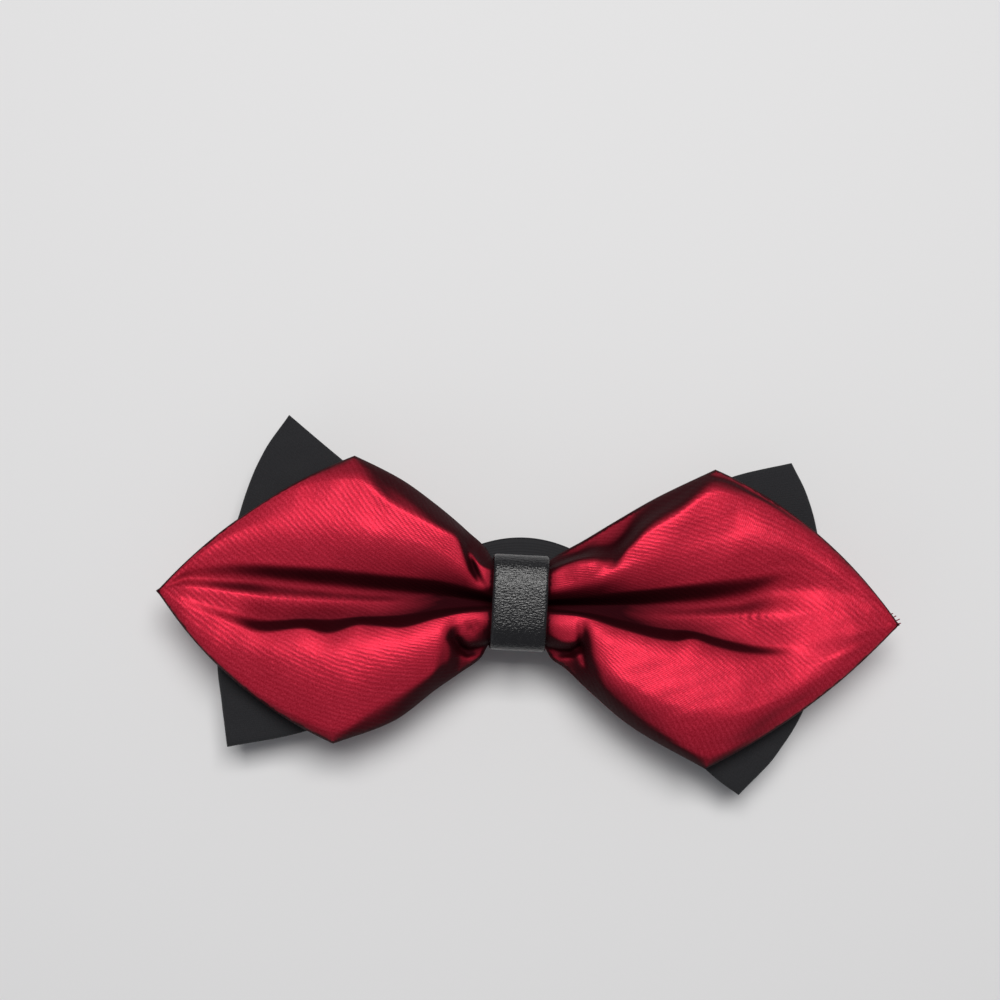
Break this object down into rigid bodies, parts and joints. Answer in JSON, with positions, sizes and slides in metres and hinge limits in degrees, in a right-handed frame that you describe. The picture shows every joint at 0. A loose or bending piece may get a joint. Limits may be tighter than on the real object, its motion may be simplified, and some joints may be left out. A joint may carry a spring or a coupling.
{
  "type": "bow tie",
  "caption": "Pre-tied double bow tie: pointed red satin bow on a black square-ended bow, pebbled centre band, folded neck strap with slider, hook and eye.",
  "frame": {"origin": "under the middle of the bow's length and height, on the surface that the bow tie lies on", "axes": "+X along the bow to the wearer's left, +Y up the bow, +Z away from the wearer, out of the bow's front"},
  "size_m": [0.13, 0.0632, 0.0225],
  "materials": {
    "red_satin": "satin twill",
    "black_cotton": "matte plain weave",
    "interlining": "loose canvas",
    "faux_leather": "pebbled, semi-gloss",
    "strap_satin": "satin band",
    "black_thread": "twisted thread",
    "red_thread": "twisted thread",
    "nickel_plate": "nickel plated"
  },
  "bodies": {
    "bow": {"front_bow_face": "red_satin", "front_bow_interlining": "interlining", "front_bow_rear": "red_satin", "front_bow_binding": "red_thread", "back_bow_face": "black_cotton", "back_bow_interlining": "interlining", "back_bow_rear": "black_cotton", "back_bow_binding": "black_thread", "centre_band": "faux_leather", "centre_band_stitches": "black_thread", "strap_tacks": "black_thread", "neck_strap": "strap_satin", "eye_loop_stitches": "black_thread"},
    "strap_slider": {"slider": "nickel_plate", "slider_wrap": "strap_satin", "slider_end_stitches": "black_thread"},
    "strap_end": {"hook_loop": "strap_satin", "strap_return": "strap_satin"},
    "clasp_hook": {"hook": "nickel_plate"},
    "clasp_eye": {"eye": "nickel_plate"}
  },
  "joints": [
    {"name": "slider_slide", "type": "slide", "parent": "bow", "child": "strap_slider", "axis": [1, 0, 0], "range_m": [0, 0.026], "deforming": ["strap_return"]},
    {"name": "strap_end_slide", "type": "slide", "parent": "bow", "child": "strap_end", "axis": [1, 0, 0], "range_m": [0, 0.013]},
    {"name": "hook_swing", "type": "hinge", "parent": "strap_end", "child": "clasp_hook", "pos_m": [0.0145, 0.0022, 0.0026], "axis": [0, 1, 0], "range_deg": [0, 110]},
    {"name": "eye_swing", "type": "hinge", "parent": "bow", "child": "clasp_eye", "pos_m": [0.043, 0.0022, 0.0038], "axis": [0, 1, 0], "range_deg": [-17, 93]}
  ],
  "couplings": [
    {"joint": "strap_end_slide", "follows": "slider_slide", "ratio": 0.5}
  ]
}
